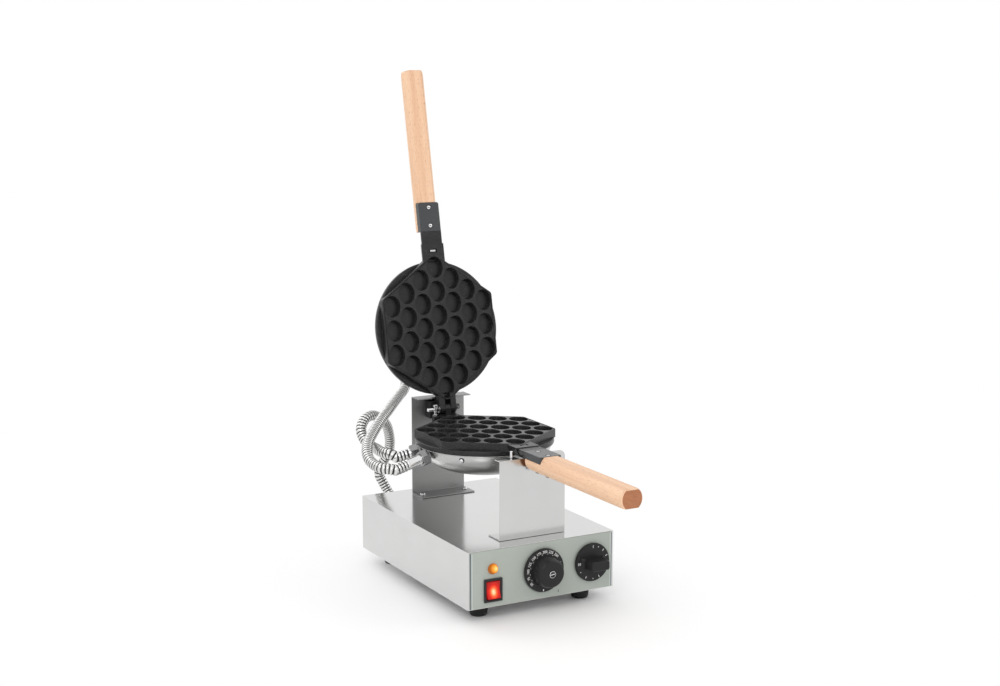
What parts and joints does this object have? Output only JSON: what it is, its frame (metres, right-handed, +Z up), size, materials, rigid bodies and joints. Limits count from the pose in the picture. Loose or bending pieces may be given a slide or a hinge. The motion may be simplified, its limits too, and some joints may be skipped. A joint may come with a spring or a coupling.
{
  "type": "rotating bubble waffle maker",
  "caption": "Countertop waffle iron: two hinged pans with oval bubble moulds, wooden handles, conduits and a steel base with knobs, a switch and a lamp.",
  "frame": {"origin": "on the table under the middle of the object's box, measured without the conduits and their glands", "axes": "+Z up, -Y towards the user and the control panel, +X to the user's right; the pans turn about Y"},
  "size_m": [0.2935, 0.6435, 0.7412],
  "materials": {
    "steel": "polished stainless sheet",
    "chrome": "bright",
    "hose": "bright stripwound steel",
    "dark_steel": "heater sheath",
    "nonstick": "satin non-stick coating on cast aluminium",
    "iron": "black",
    "overlay": "grey-green printed overlay",
    "plastic": "black",
    "knob": "black",
    "rubber": "black",
    "wood": "plain beech",
    "fibre": "ceramic fibre pad",
    "ceramic": "cream",
    "red": "translucent red",
    "amber": "translucent amber"
  },
  "bodies": {
    "root": {"base_shell": "steel", "bottom_plate": "steel", "front_panel": "overlay", "foot_front_left": "rubber", "foot_front_right": "rubber", "foot_rear_left": "rubber", "foot_rear_right": "rubber", "rear_bracket": "steel", "front_bracket": "steel", "stop_pin": "steel", "bracket_screw_rear_left": "chrome", "bracket_screw_rear_right": "chrome", "bracket_screw_front_left": "chrome", "bracket_screw_front_right": "chrome", "bearing_block": "iron", "block_screw_left": "chrome", "block_screw_right": "chrome", "thermostat_body": "ceramic", "timer_body": "ceramic", "power_switch_housing": "plastic", "heat_lamp_lens": "amber", "heat_lamp_holder": "plastic", "terminal_block": "ceramic", "mains_cord_gland": "plastic", "base_conduit_gland": "steel", "feed_conduit": "hose"},
    "lower_pan": {"lower_plate": "nonstick", "lower_heating_element": "dark_steel", "lower_probe": "chrome", "lower_insulation": "fibre", "lower_bowl": "steel", "lower_bowl_screw_left": "chrome", "lower_bowl_screw_right": "chrome", "lower_handle": "wood", "lower_handle_bolt_front": "chrome", "lower_handle_bolt_rear": "chrome", "lower_link_gland": "steel", "lower_feed_gland": "steel", "hinge_bolt": "chrome", "hinge_nut": "chrome", "rear_pivot": "chrome", "rear_pivot_nut": "chrome", "link_conduit": "hose"},
    "upper_pan": {"upper_plate": "nonstick", "upper_heating_element": "dark_steel", "upper_insulation": "fibre", "upper_bowl": "steel", "upper_bowl_screw_left": "chrome", "upper_bowl_screw_right": "chrome", "upper_handle": "wood", "upper_handle_bolt_front": "chrome", "upper_handle_bolt_rear": "chrome", "upper_link_gland": "steel"},
    "thermostat_knob": {"thermostat_knob": "knob", "thermostat_knob_insert": "chrome", "thermostat_spindle": "steel"},
    "timer_knob": {"timer_knob": "knob", "timer_spindle": "steel"},
    "power_rocker": {"power_rocker": "red"}
  },
  "joints": [
    {"name": "pan_rotation", "type": "hinge", "parent": "root", "child": "lower_pan", "pos_m": [0, 0.2152, 0.2284], "axis": [0, 1, 0], "range_deg": [0, 8], "deforming": ["feed_conduit"]},
    {"name": "lid_hinge", "type": "hinge", "parent": "lower_pan", "child": "upper_pan", "pos_m": [0, 0.1952, 0.2364], "axis": [1, 0, 0], "range_deg": [0, 101.8], "deforming": ["link_conduit"]},
    {"name": "thermostat_turn", "type": "hinge", "parent": "root", "child": "thermostat_knob", "pos_m": [0, -0.0969, 0.0618], "axis": [0, -1, 0], "range_deg": [0, 300]},
    {"name": "timer_turn", "type": "hinge", "parent": "root", "child": "timer_knob", "pos_m": [0.0785, -0.0969, 0.0618], "axis": [0, -1, 0], "range_deg": [0, 320]},
    {"name": "rocker_tilt", "type": "hinge", "parent": "root", "child": "power_rocker", "pos_m": [-0.0785, -0.0952, 0.0445], "axis": [1, 0, 0], "range_deg": [0, 14]}
  ]
}
